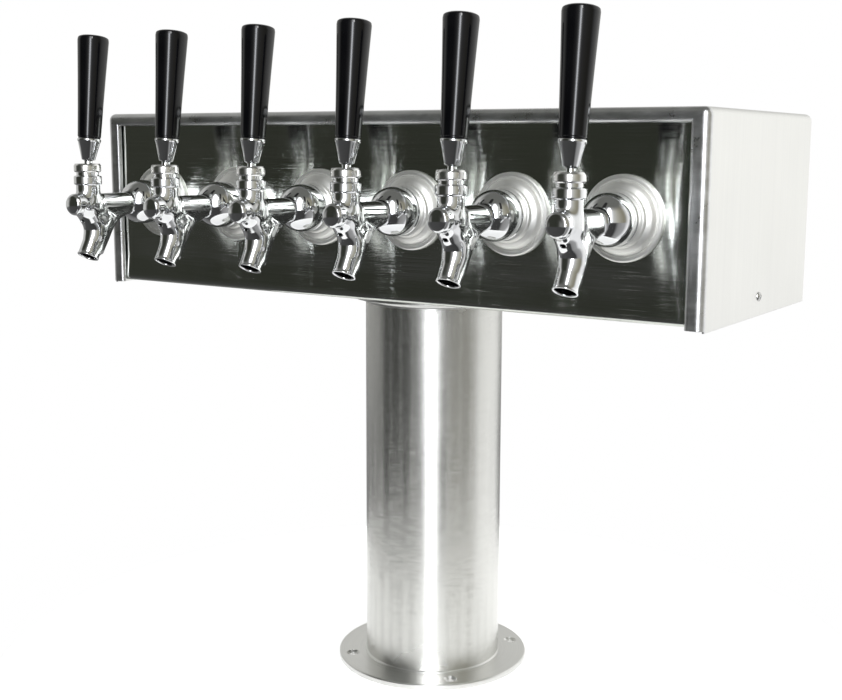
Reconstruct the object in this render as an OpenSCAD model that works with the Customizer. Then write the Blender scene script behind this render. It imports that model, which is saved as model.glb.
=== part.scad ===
// Beer tap tower: a round column on a base flange carries a long
// sheet-metal box with six rear-closing beer faucets on its front panel.
// Origin: centre of the base flange's underside. +Z up, the faucets
// face -Y and the box runs along X. Millimetres.

/* [Column and base] */
// Outer diameter of the round column
column_od = 101.6; // [96:0.2:106]
// Wall of the column tube
column_wall = 1.5; // [1.2:0.1:2]
// Diameter of the base flange
base_d = 144; // [138:1:160]
// Thickness of the base flange
base_t = 4.3; // [3:0.1:6]
// Diameter of the circle the four base screw holes lie on
base_pcd = 124.5; // [122:0.5:126]
// Diameter of the base screw holes
base_hole_d = 6.8; // [5:0.1:8]
// Outer diameter of the ring flange under the box
top_ring_d = 120; // [112:0.5:124]
// How far the ring's outer part reaches down beside the column
top_ring_drop = 3.2; // [1:0.1:5]

/* [Box] */
// Length of the box
box_l = 487; // [470:1:520]
// Front plane of the cover's folded lips (negative is forwards)
box_front = -90.5; // [-92:0.1:-90]
// Rear face of the box
box_rear = 108.9; // [100:0.1:120]
// Height of the box's top face above the floor
box_top = 411.8; // [405:0.1:425]
// Height of the lower edge of the end faces
box_low = 281.3; // [280:0.1:281.6]
// Height of the underside of the chassis
chassis_z = 284; // [283:0.1:285]
// Sheet thickness
sheet = 1.5; // [1.2:0.1:1.8]
// Outer edge radius of the cover
edge_r = 5; // [3:0.5:6]
// Width of the lips on the end faces
lip_w = 11.8; // [9:0.1:14]
// Height of the lip along the top
lip_h = 9; // [7:0.1:12]
// Depth of the folded lips
lip_t = 3.4; // [2.8:0.1:3.6]

/* [Faucets] */
// Distance between faucet centres
pitch = 76.2; // [74:0.1:78]
// Height of the shank and barrel axis
axis_z = 346.5; // [344:0.1:350]
// Height of the lever pivot above the barrel axis
pivot_up = 19.5; // [19.3:0.1:19.8]
// How far the closed lever leans back, in degrees
lever_lean = 5.8; // [4:0.1:6]
// Slant of the spout from the vertical, in degrees
spout_tilt = 27.3; // [26:0.1:29]
// Outer diameter of the spout
spout_od = 14.6; // [14.4:0.1:15]
// Outer diameter of the spout's flared rim
rim_od = 15.4; // [15:0.1:16]
// Bore of the spout
spout_id = 12.4; // [11.6:0.1:12.6]
// Depth of the spout's bore from its open end
spout_depth = 36; // [34:0.5:36]

/* [Tap handles] */
// Distance from the pivot to the top of the handle
handle_top = 99; // [90:0.5:120]
// Diameter of the handle at its lower end
handle_d0 = 16; // [14:0.1:18]
// Diameter of the handle near its top
handle_d1 = 21.6; // [19:0.1:26]

/* [Beer lines] */
// Outer diameter of the beer lines
line_od = 10; // [9:0.1:10]
// Bore of the beer lines
line_id = 6.4; // [6.4:0.1:7]
// Bend radius of the beer lines along their middle
line_bend = 40; // [38:1:42]

/* [Hidden] */
$fn = 64;
eps = 0.01;
column_r = column_od / 2;
column_bore = column_r - column_wall;
panel_y = -86.7;                // front face of the mirror panel
panel_in = panel_y + sheet;     // its rear face
pivot_y = -158.8;               // valve housing and lever pivot
pivot_z = axis_z + pivot_up;
half_l = box_l / 2;
chassis_half = half_l - sheet - 0.1;
chassis_body = chassis_half - 3.6; // half length of its floor and front panel
end_screw = [8, 294];           // Y and Z of the screw on each end face
tip_y = -161.5;                 // centre of the spout's open end
tip_z = 309;
body_rear = -113;               // rear face of the faucet body
bore_r = 4.85;                  // bore of the faucet barrel
barrel_r = 7.4;
neck_lean = 32;                 // slope of the neck above the spout, from the vertical
shank_front = -112;
shank_rear = -56;
// Where each beer line goes down the column, X and Y, for the left half
line_drop = [[-7.5, 42.5], [-24, 28], [-38.1, 15]];
line_low = 6;                   // lower ends of the beer lines
line_start = -48.5;

function faucet_x(i) = (i - 3.5) * pitch;

// ---- helpers ---------------------------------------------------------

module each_faucet() { for (i = [1:6]) translate([faucet_x(i), 0, 0]) children(); }

// Cylinder along +Y between two Y values on the barrel axis
module rod_y(y0, y1, r) {
    translate([0, y0, axis_z]) rotate([-90, 0, 0]) cylinder(h = y1 - y0, r = r);
}

// Turned ring along Y: profile points are [radius, Y]
module turned_y(points) {
    translate([0, 0, axis_z]) rotate([-90, 0, 0]) rotate_extrude() polygon(points);
}

// Rectangle with four round corners, in the XY plane
module round_rect(x0, x1, y0, y1, r) {
    union() {
        translate([x0 + r, y0]) square([x1 - x0 - 2 * r, y1 - y0]);
        translate([x0, y0 + r]) square([x1 - x0, y1 - y0 - 2 * r]);
        for (x = [x0 + r, x1 - r], y = [y0 + r, y1 - r]) translate([x, y]) circle(r = r);
    }
}

// Block whose top and upright edges are rounded
module soft_block(x0, x1, y0, y1, z0, z1, r) {
    intersection() {
        translate([0, 0, z0]) linear_extrude(z1 - z0) round_rect(x0, x1, y0, y1, r);
        translate([0, y1 + 1, 0]) rotate([90, 0, 0]) linear_extrude(y1 - y0 + 2)
            round_rect(x0, x1, z0 - 20, z1, r);
        translate([x0 - 1, 0, 0]) rotate([90, 0, 90]) linear_extrude(x1 - x0 + 2)
            round_rect(y0, y1, z0 - 20, z1, r);
    }
}

// Lever frame: origin at the ball centre, +Z along the closed lever
module lever_frame(i) {
    translate([faucet_x(i), pivot_y, pivot_z]) rotate([-lever_lean, 0, 0]) children();
}

// Spout frame: origin at the centre of the open end, +Z up the spout
module spout_frame() {
    translate([0, tip_y, tip_z]) rotate([-spout_tilt, 0, 0]) children();
}

// ---- column and base ---------------------------------------------------

module column_tube() {
    color("silver") translate([0, 0, base_t]) difference() {
        cylinder(h = chassis_z - 2.5 - base_t, r = column_r, $fn = 128);
        translate([0, 0, -1]) cylinder(h = chassis_z, r = column_bore, $fn = 128);
    }
}

module base_flange() {
    color("gainsboro") difference() {
        rotate_extrude($fn = 128) polygon([
            [column_bore, 0], [base_d / 2 - 0.4, 0], [base_d / 2, 0.4],
            [base_d / 2, base_t - 0.8], [base_d / 2 - 0.8, base_t], [column_bore, base_t]
        ]);
        for (a = [45:90:315]) rotate(a) translate([base_pcd / 2, 0, 0]) {
            translate([0, 0, -1]) cylinder(h = base_t + 2, d = base_hole_d);
            translate([0, 0, base_t - 1.5])
                cylinder(h = 1.6, d1 = base_hole_d, d2 = base_hole_d + 3.2);
        }
    }
}

// Ring flange on the column with four upright studs
module column_top_flange() {
    color("silver") translate([0, 0, chassis_z - 2.5]) {
        difference() {
            union() {
                translate([0, 0, -top_ring_drop]) cylinder(h = 2.5 + top_ring_drop, d = top_ring_d, $fn = 128);
                // weld fillet running down the column
                difference() {
                    translate([0, 0, -top_ring_drop - 3.5])
                        cylinder(h = 4, d = column_od + 7, $fn = 128);
                    translate([0, 0, -top_ring_drop - 3.5]) rotate_extrude($fn = 128)
                        translate([column_od / 2 + 3.6, 0]) circle(r = 3.3);
                }
            }
            translate([0, 0, -1]) cylinder(h = 5, r = column_bore, $fn = 128);
            translate([0, 0, -30]) cylinder(h = 30, d = column_od, $fn = 128);
        }
        for (a = [0:90:270]) rotate(a) translate([52.9, 0, 1]) cylinder(h = 11, r = 1.9);
    }
}

module column_nuts() {
    color("silver") for (a = [0:90:270]) rotate(a)
        translate([52.9, 0, chassis_z + sheet]) difference() {
            cylinder(h = 3.4, r = 4, $fn = 6);
            translate([0, 0, -1]) cylinder(h = 6, r = 1.95);
        }
}

// ---- box ---------------------------------------------------------------

// Bent sheet: front panel, floor and short rear upstand, with two side upstands
module box_chassis() {
    rear = box_rear - sheet - 0.1;
    color("dimgray") difference() {
        union() {
            translate([-chassis_body, 0, 0]) rotate([90, 0, 90])
                linear_extrude(2 * chassis_body) difference() {
                    round_rect(panel_y, rear, chassis_z, box_top + 20, 2.8);
                    round_rect(panel_y + sheet, rear - sheet, chassis_z + sheet, box_top + 30, 1.3);
                    translate([panel_y - 1, box_top - sheet - 2.5]) square([rear - panel_y + 2, 60]);
                    translate([panel_y + 10, chassis_z + 20]) square([rear - panel_y, 200]);
                }
            for (s = [-1, 1]) {
                translate([s * (chassis_half - sheet / 2) - sheet / 2, -60, chassis_z])
                    cube([sheet, 140, 20]);
                translate([s * (chassis_half - 3) - 3, -60, chassis_z]) cube([6, 140, sheet]);
            }
        }
        each_faucet() rod_y(panel_y - 5, panel_y + 10, 11.5);
        cylinder(h = 400, r = column_bore, $fn = 128);
        for (a = [0:90:270]) rotate(a) translate([52.9, 0, 270]) cylinder(h = 30, r = 2.1);
        for (s = [-1, 1]) translate([s * half_l, end_screw[0], end_screw[1]])
            rotate([0, 90, 0]) cylinder(h = 20, r = 2.2, center = true);
    }
}

// Shell with top, rear, two ends and folded front lips, open below and in front
module box_cover() {
    color("whitesmoke") difference() {
        soft_block(-half_l, half_l, box_front, box_rear, box_low, box_top, edge_r);
        soft_block(-half_l + sheet, half_l - sheet, box_front + lip_t, box_rear - sheet,
                   box_low - 10, box_top - sheet, edge_r - sheet);
        translate([-half_l + lip_w, box_front - 5, box_low - 10])
            cube([box_l - 2 * lip_w, 12, box_top - lip_h - box_low + 10]);
        translate([-half_l - 1, box_front - 5, box_low - 10])
            cube([box_l + 2, 5 + lip_t, chassis_z - 1.4 - box_low + 10]);
        for (s = [-1, 1]) translate([s * half_l, end_screw[0], end_screw[1]])
            rotate([0, 90, 0]) cylinder(h = 8, r = 2.1, center = true);
    }
}

module cover_screws() {
    color("gray") for (s = [-1, 1]) translate([s * half_l, end_screw[0], end_screw[1]])
        rotate([0, s * 90, 0]) difference() {
            union() {
                translate([0, 0, -9]) cylinder(h = 9 + eps, r = 1.9);
                intersection() {
                    cylinder(h = 1.7, r = 3);
                    translate([0, 0, -2.6]) sphere(r = 4.3);
                }
            }
            for (a = [0, 90]) rotate(a) translate([-1.5, -0.35, 0.8]) cube([3, 0.7, 2]);
        }
}

module clinch_nuts() {
    color("silver") for (s = [-1, 1])
        translate([s * (chassis_half - sheet - 1.75), end_screw[0], end_screw[1]])
            rotate([0, 90, 0]) difference() {
                cylinder(h = 3.5, r = 4.2, center = true);
                cylinder(h = 8, r = 1.95, center = true);
            }
}

// ---- shanks and what is behind the panel ---------------------------------

// Stepped round flange around each shank on the front panel
module shank_flanges() {
    color("lightgray") each_faucet() turned_y([
        [11.3, panel_y], [26.3, panel_y], [26.3, panel_y - 2.0], [25.5, panel_y - 2.8],
        [23.6, panel_y - 3.0], [23.0, panel_y - 2.2], [22.4, panel_y - 2.2], [21.9, panel_y - 3.6],
        [20.6, panel_y - 5.4], [18.6, panel_y - 6.6], [17.6, panel_y - 7.0], [17.2, panel_y - 9.0],
        [16.4, panel_y - 9.5], [11.3, panel_y - 9.5]
    ]);
}

// Threaded pipe through the panel: coupling thread, shoulder, body
module shanks() {
    color("silver") each_faucet() difference() {
        union() {
            rod_y(shank_front, -98.8, 13.4);
            rod_y(-98.9, panel_y - 9.5, 14.6);
            rod_y(-97, shank_rear, 11.1);
        }
        rod_y(shank_front - 1, -96, 8);
        rod_y(-97, shank_rear + 1, 3.2);
    }
}

module shank_washers() {
    color("dimgray") each_faucet() difference() {
        rod_y(panel_in, panel_in + 1.5, 17);
        rod_y(panel_in - 1, panel_in + 3, 11.3);
    }
}

module shank_lock_nuts() {
    color("silver") each_faucet() translate([0, panel_in + 1.5, axis_z]) rotate([-90, 0, 0])
        difference() {
            cylinder(h = 6, r = 18.4, $fn = 6);
            translate([0, 0, -1]) cylinder(h = 8, r = 11.15);
        }
}

module tail_washers() {
    color("black") each_faucet() difference() {
        rod_y(shank_rear, shank_rear + 1.5, 10);
        rod_y(shank_rear - 1, shank_rear + 3, 3.3);
    }
}

// Flanged tailpiece with a plain hose tail
module tailpieces() {
    color("silver") each_faucet() difference() {
        union() {
            rod_y(shank_rear + 1.5, shank_rear + 3.5, 10);
            rod_y(shank_rear + 3, -30, 3.15);
            turned_y([[0, -34], [3.15, -34], [3.15, -31], [2.8, -29.5], [0, -29.5]]);
        }
        rod_y(shank_rear, -28, 2.3);
    }
}

module beer_nuts() {
    color("silver") each_faucet() difference() {
        translate([0, -63, axis_z]) rotate([-90, 0, 0]) cylinder(h = 13, r = 15.6, $fn = 6);
        rod_y(-64, shank_rear + 3.6, 11.15);
        rod_y(-55, -49, 5.2);
    }
}

module hose_clamps() {
    color("silver") each_faucet() difference() {
        union() {
            rod_y(-44, -37.5, line_od / 2 + 0.75);
            translate([-2.2, -44, axis_z + line_od / 2]) cube([4.4, 6.5, 2.6]);
        }
        rod_y(-45, -36, line_od / 2 + 0.03);
    }
}

// Quarter bend of a hose in the XY plane about the origin, from angle 0 to 90
module hose_bend() {
    rotate_extrude(angle = 90) translate([line_bend, 0]) difference() {
        circle(d = line_od, $fn = 32);
        circle(d = line_id, $fn = 32);
    }
}

module hose(h) {
    difference() {
        cylinder(h = h, d = line_od, $fn = 32);
        translate([0, 0, -1]) cylinder(h = h + 2, d = line_id, $fn = 32);
    }
}

// Line i of the left half: back from the tailpiece, across, and down the column
module beer_line(i) {
    x = faucet_x(i);
    drop = line_drop[i - 1];
    if (i == 3) {
        translate([x, line_start, axis_z]) rotate([-90, 0, 0]) hose(drop[1] - line_bend - line_start);
        translate([x, drop[1] - line_bend, axis_z - line_bend]) rotate([0, -90, 0]) hose_bend();
    } else {
        translate([x, line_start, axis_z]) rotate([-90, 0, 0]) hose(drop[1] - line_bend - line_start);
        translate([x + line_bend, drop[1] - line_bend, axis_z]) rotate([0, 0, 90]) hose_bend();
        translate([x + line_bend, drop[1], axis_z]) rotate([0, 90, 0])
            hose(drop[0] - line_bend - x - line_bend);
        translate([drop[0] - line_bend, drop[1], axis_z - line_bend]) rotate([90, 0, 0]) hose_bend();
    }
    translate([drop[0], drop[1], line_low]) hose(axis_z - line_bend - line_low);
}

module beer_lines() {
    color("lightblue") for (i = [1:3]) {
        beer_line(i);
        mirror([1, 0, 0]) beer_line(i);
    }
}

// Domed cup nut that pulls the faucet's rear collar against the shank
module coupling_nuts() {
    color("gainsboro") each_faucet() difference() {
        union() {
            turned_y([[0, -108], [16, -108], [16, -100.2], [15.4, -99.2], [0, -99.2]]);
            intersection() {
                translate([0, -108, axis_z]) rotate([90, 0, 0]) sphere(r = 16);
                rod_y(-130, -107.9, 17);
            }
        }
        rod_y(-113.05, -99, 13.5);
        rod_y(-116.1, -113, 12.5);
        rod_y(-130, -115, 7.9);
    }
}

module coupling_gaskets() {
    color("black") each_faucet() difference() {
        rod_y(body_rear, shank_front, 13);
        rod_y(body_rear - 1, shank_front + 1, 8.2);
    }
}

// ---- faucets -------------------------------------------------------------

module faucet_body(i) {
    color("gainsboro") translate([faucet_x(i), 0, 0]) difference() {
        union() {
            rod_y(-168, body_rear, barrel_r);
            rod_y(-116, body_rear, 12);
            // front button: low domed face with a well rounded edge
            rod_y(-171.3, -167, 7.6);
            rod_y(-174.28, -170, 4.6);
            translate([0, -171.3, axis_z]) rotate([90, 0, 0]) rotate_extrude()
                translate([4.6, 0]) circle(r = 3);
            intersection() {
                translate([0, -161.3, axis_z]) sphere(r = 14);
                rod_y(-177, -172.2, 5.84);
            }
            // valve housing and its threaded cup
            translate([0, pivot_y, axis_z - 4]) cylinder(h = 18.6, r = 8.25);
            translate([0, pivot_y, pivot_z - 5.8]) cylinder(h = 6.3, r = 9.6);
            translate([0, pivot_y, pivot_z]) cylinder(h = 5.2, r = 7.9);
            // neck sloping back from the housing to the elbow above the spout
            translate([0, -153.4, 331]) rotate([neck_lean, 0, 0])
                cylinder(h = 15.4, r1 = 7.7, r2 = 8.15);
            translate([0, -153.4, 331]) sphere(r = 7.75);
            translate([0, -153.4, 325]) cylinder(h = 7, r = 7.65);
            translate([0, -153.4, 325]) sphere(r = 7.7);
            spout_frame() cylinder(h = 40, r = spout_od / 2);
            spout_frame() cylinder(h = 2.6, r1 = rim_od / 2, r2 = spout_od / 2 - 0.02);
            // web behind the spout
            translate([-4.5, 0, 0]) rotate([90, 0, 90]) linear_extrude(9) polygon([
                [-122.8, 346], [-122.8, 338.8], [-127, 337.2], [-132.5, 334.2], [-137, 330.4],
                [-141, 325.6], [-144.8, 319.5], [-149.5, 311.5], [-156, 320], [-153, 346]
            ]);
        }
        rod_y(-171, body_rear + 1, bore_r);
        spout_frame() translate([0, 0, -2]) cylinder(h = spout_depth + 2, r = spout_id / 2);
        // vent hole under the front dome
        translate([0, -169, 332.6]) rotate([-60, 0, 0]) cylinder(h = 20, r = 1.15);
        // throat for the lever's finger
        translate([-3.4, pivot_y - 5.0, axis_z + 2]) cube([6.8, 13.2, 5.5]);
        translate([-3.4, pivot_y - 4.4, axis_z + 7]) cube([6.8, 11.2, 5.2]);
        translate([0, pivot_y, pivot_z - 7.8]) cylinder(h = 4, r = 5.3);
        // cup for the ball and its washers
        translate([0, pivot_y, pivot_z - 5.5]) cylinder(h = 14, r = 6.5);
    }
}

// Ring under the ball
module ball_washers() {
    color("black") each_faucet() translate([0, pivot_y, pivot_z]) difference() {
        translate([0, 0, -5.4]) cylinder(h = 3.6, r = 6.4);
        translate([0, 0, -8]) cylinder(h = 8, r = 4.3);
        sphere(r = 5.06);
    }
}

// Ring above the ball, pressed down by the bonnet
module friction_washers() {
    color("black") each_faucet() translate([0, pivot_y, pivot_z]) difference() {
        translate([0, 0, 1.5]) cylinder(h = 2, r = 6.4);
        translate([0, 0, -1]) cylinder(h = 8, r = 4.85);
        sphere(r = 5.06);
    }
}

module bonnets() {
    color("whitesmoke") each_faucet() translate([0, pivot_y, pivot_z]) rotate_extrude() polygon([
        [9, 3], [9.3, 3.3], [9.3, 8.1], [8.4, 9], [7.2, 9], [5.0, 3.6], [6.2, 3.6], [6.2, 5.3],
        [8.0, 5.3], [8.0, 3]
    ]);
}

// Ball lever: finger below, neck and threaded stud above
module lever(i) {
    color("silver") lever_frame(i) union() {
        sphere(r = 5);
        translate([0, 0, 3]) cylinder(h = 10, r = 2.8);
        translate([0, 0, 12]) cylinder(h = 28, r = 3.9);
        translate([0, 0, -pivot_up]) cylinder(h = pivot_up - 3, r = 1.6);
        translate([0, 0, -pivot_up]) sphere(r = 2.7);
    }
}

module ferrule(i) {
    color("gainsboro") lever_frame(i) rotate_extrude() polygon([
        [3.95, 12], [5.2, 12], [5.8, 12.6], [6.0, 14.5], [7.0, 20.5], [7.9, 24.8], [8.1, 25.4],
        [8.1, 26.2], [7.9, 26.4], [3.95, 26.4]
    ]);
}

module handle(i) {
    r0 = handle_d0 / 2;
    r1 = handle_d1 / 2;
    color("#151515") lever_frame(i) difference() {
        rotate_extrude() polygon([
            [0, 26.4], [r0 - 0.3, 26.4], [r0, 26.9],
            [r0 + 0.26 * (r1 - r0), 49], [r0 + 0.56 * (r1 - r0), 70],
            [r1, handle_top - 3.2], [r1 - 0.3, handle_top - 1.6], [r1 - 1.2, handle_top - 0.7],
            [r1 - 3, handle_top - 0.25], [r1 - 7, handle_top], [0, handle_top]
        ]);
        translate([0, 0, 26]) cylinder(h = 15, r = 3.95);
    }
}

// Shaft: guide with the finger hole in front, thin stem, shoulder and head
module shaft(i) {
    finger_y = pivot_y - pivot_up * sin(lever_lean);
    color("silver") translate([faucet_x(i), 0, 0]) difference() {
        union() {
            rod_y(-167.5, -153.5, 4.8);
            rod_y(-154, -108.5, 2.5);
            rod_y(-116, body_rear - 0.05, 4.2);
            rod_y(-110.5, -108.5, 4.2);
        }
        translate([0, finger_y, axis_z - 6]) cylinder(h = 12, r = 3.2);
    }
}

module shaft_seat(i) {
    color("black") translate([faucet_x(i), 0, 0]) difference() {
        rod_y(body_rear + 0.05, -110.55, 6.6);
        rod_y(body_rear - 1, -110, 2.55);
    }
}

// ---- drawing ---------------------------------------------------------------

column_tube();
base_flange();
column_top_flange();
column_nuts();
box_chassis();
box_cover();
cover_screws();
clinch_nuts();
shank_flanges();
shanks();
shank_washers();
shank_lock_nuts();
coupling_nuts();
coupling_gaskets();
tail_washers();
tailpieces();
beer_nuts();
hose_clamps();
beer_lines();
bonnets();
ball_washers();
friction_washers();
faucet_body(1);  // faucet_body_1
faucet_body(2);  // faucet_body_2
faucet_body(3);  // faucet_body_3
faucet_body(4);  // faucet_body_4
faucet_body(5);  // faucet_body_5
faucet_body(6);  // faucet_body_6
lever(1);  // lever_1
lever(2);  // lever_2
lever(3);  // lever_3
lever(4);  // lever_4
lever(5);  // lever_5
lever(6);  // lever_6
ferrule(1);  // ferrule_1
ferrule(2);  // ferrule_2
ferrule(3);  // ferrule_3
ferrule(4);  // ferrule_4
ferrule(5);  // ferrule_5
ferrule(6);  // ferrule_6
handle(1);  // handle_1
handle(2);  // handle_2
handle(3);  // handle_3
handle(4);  // handle_4
handle(5);  // handle_5
handle(6);  // handle_6
shaft(1);  // shaft_1
shaft(2);  // shaft_2
shaft(3);  // shaft_3
shaft(4);  // shaft_4
shaft(5);  // shaft_5
shaft(6);  // shaft_6
shaft_seat(1);  // shaft_seat_1
shaft_seat(2);  // shaft_seat_2
shaft_seat(3);  // shaft_seat_3
shaft_seat(4);  // shaft_seat_4
shaft_seat(5);  // shaft_seat_5
shaft_seat(6);  // shaft_seat_6
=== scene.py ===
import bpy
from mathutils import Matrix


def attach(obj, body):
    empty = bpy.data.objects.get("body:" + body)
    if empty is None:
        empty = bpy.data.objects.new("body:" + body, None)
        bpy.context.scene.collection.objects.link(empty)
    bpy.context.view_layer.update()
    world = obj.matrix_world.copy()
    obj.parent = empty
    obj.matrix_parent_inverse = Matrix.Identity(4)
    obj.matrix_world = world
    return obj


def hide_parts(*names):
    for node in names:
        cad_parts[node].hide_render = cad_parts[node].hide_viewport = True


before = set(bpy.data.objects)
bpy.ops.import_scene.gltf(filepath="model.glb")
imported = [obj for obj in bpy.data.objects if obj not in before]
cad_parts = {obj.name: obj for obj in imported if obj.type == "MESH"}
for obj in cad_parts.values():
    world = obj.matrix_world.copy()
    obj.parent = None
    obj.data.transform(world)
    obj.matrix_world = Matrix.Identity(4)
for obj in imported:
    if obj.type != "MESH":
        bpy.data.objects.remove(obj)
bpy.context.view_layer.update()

import math

import bmesh
import bpy
import numpy as np
from mathutils import Matrix, Vector
from mathutils.geometry import delaunay_2d_cdt

# Lengths below are in millimetres and are scaled to metres when a mesh is made.
MM = 0.001
PITCH = 76.2
AXIS_Z = 346.5
PIV_Y, PIV_Z = -158.8, 366.0
LEAN = math.radians(5.8)
TILT = math.radians(27.3)
TIP_Y, TIP_Z = -161.5, 309.0
PANEL_Y = -86.7
SHEET = 1.5
HALF_L = 243.5
BOX_FRONT, BOX_REAR = -90.5, 108.9
BOX_TOP, BOX_LOW, CHASSIS_Z = 411.8, 281.3, 284.0
LIP_END = 282.6


def faucet_x(i):
    return (i - 3.5) * PITCH


# ---------------------------------------------------------------- mesh helpers


def to_object(name, verts, faces, place=None, sharp=35.0, normals=None):
    """Mesh object from millimetre vertices; place is a 4x4 in millimetres."""
    me = bpy.data.meshes.new(name)
    me.from_pydata((np.asarray(verts, float) * MM).tolist(), [], [list(map(int, f)) for f in faces])
    me.validate()
    me.update()
    me.shade_smooth()
    if normals is not None:
        me.normals_split_custom_set_from_vertices(np.asarray(normals, float).tolist())
    elif sharp:
        me.set_sharp_from_angle(angle=math.radians(sharp))
    return put(name, me, place)


def put(name, me, place=None):
    ob = bpy.data.objects.new(name, me)
    bpy.context.scene.collection.objects.link(ob)
    if place is not None:
        m = place.copy()
        m.translation = m.translation * MM
        ob.matrix_world = m
    return ob


def from_bm(name, bm, place=None, sharp=35.0):
    bmesh.ops.recalc_face_normals(bm, faces=bm.faces)
    me = bpy.data.meshes.new(name)
    bm.to_mesh(me)
    bm.free()
    me.transform(Matrix.Scale(MM, 4))
    me.shade_smooth()
    if sharp:
        me.set_sharp_from_angle(angle=math.radians(sharp))
    return put(name, me, place)


def rounded(points, closed=True, step=12.0):
    """Outline from (a, b, radius) corners, each corner turned into an arc."""
    out = []
    n = len(points)
    for i in range(n):
        a, b = points[i][0], points[i][1]
        r = points[i][2] if len(points[i]) > 2 else 0.0
        if r <= 0 or (not closed and i in (0, n - 1)):
            out.append((a, b))
            continue
        p = Vector((a, b))
        u = Vector(points[i - 1][:2]) - p
        v = Vector(points[(i + 1) % n][:2]) - p
        lu, lv = u.length, v.length
        if lu < 1e-9 or lv < 1e-9:
            out.append((a, b))
            continue
        u /= lu
        v /= lv
        ang = math.acos(max(-1.0, min(1.0, u.dot(v))))
        if ang > math.pi - 0.02:
            out.append((a, b))
            continue
        t = min(r / math.tan(ang / 2), 0.48 * lu, 0.48 * lv)
        r = t * math.tan(ang / 2)
        c = p + (u + v).normalized() * (r / math.sin(ang / 2))
        s, e = p + u * t, p + v * t
        a0 = math.atan2(s.y - c.y, s.x - c.x)
        a1 = math.atan2(e.y - c.y, e.x - c.x)
        d = (a1 - a0 + math.pi) % (2 * math.pi) - math.pi
        k = max(2, int(math.ceil(abs(math.degrees(d)) / step)))
        for j in range(k + 1):
            q = a0 + d * j / k
            out.append((c.x + r * math.cos(q), c.y + r * math.sin(q)))
    return out


def lathe(name, prof, seg=96, closed=True, place=None, sharp=35.0):
    """Turned solid about local Z from (radius, height) points. closed joins last to first."""
    ang = np.arange(seg) * 2 * math.pi / seg
    ca, sa = np.cos(ang), np.sin(ang)
    verts, rings = [], []
    for r, h in prof:
        if r < 1e-6:
            rings.append([len(verts)] * seg)
            verts.append((0.0, 0.0, h))
        else:
            base = len(verts)
            verts.extend(zip(r * ca, r * sa, np.full(seg, h)))
            rings.append(list(range(base, base + seg)))
    faces = []
    pairs = list(zip(range(len(prof) - 1), range(1, len(prof))))
    if closed:
        pairs.append((len(prof) - 1, 0))
    for p, q in pairs:
        A, B = rings[p], rings[q]
        if A[0] == A[1] and B[0] == B[1]:
            continue
        for j in range(seg):
            k = (j + 1) % seg
            f = [A[j], A[k], B[k], B[j]]
            g = []
            for x in f:
                if x not in g:
                    g.append(x)
            faces.append(g)
    bm = bmesh.new()
    bv = [bm.verts.new(v) for v in verts]
    for f in faces:
        bm.faces.new([bv[i] for i in f])
    return from_bm(name, bm, place, sharp)


def along_y(x, y=0.0, z=AXIS_Z):
    """Local Z runs along world +Y."""
    return Matrix.Translation((x, y, z)) @ Matrix.Rotation(-math.pi / 2, 4, "X")


def lever_place(i):
    return Matrix.Translation((faucet_x(i), PIV_Y, PIV_Z)) @ Matrix.Rotation(-LEAN, 4, "X")


def evaluated(ob):
    """Replaces an object's mesh by its modified mesh."""
    bpy.context.view_layer.update()
    dg = bpy.context.evaluated_depsgraph_get()
    me = bpy.data.meshes.new_from_object(ob.evaluated_get(dg))
    ob.modifiers.clear()
    ob.data = me
    return ob


# ------------------------------------------------------------------- materials


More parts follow.
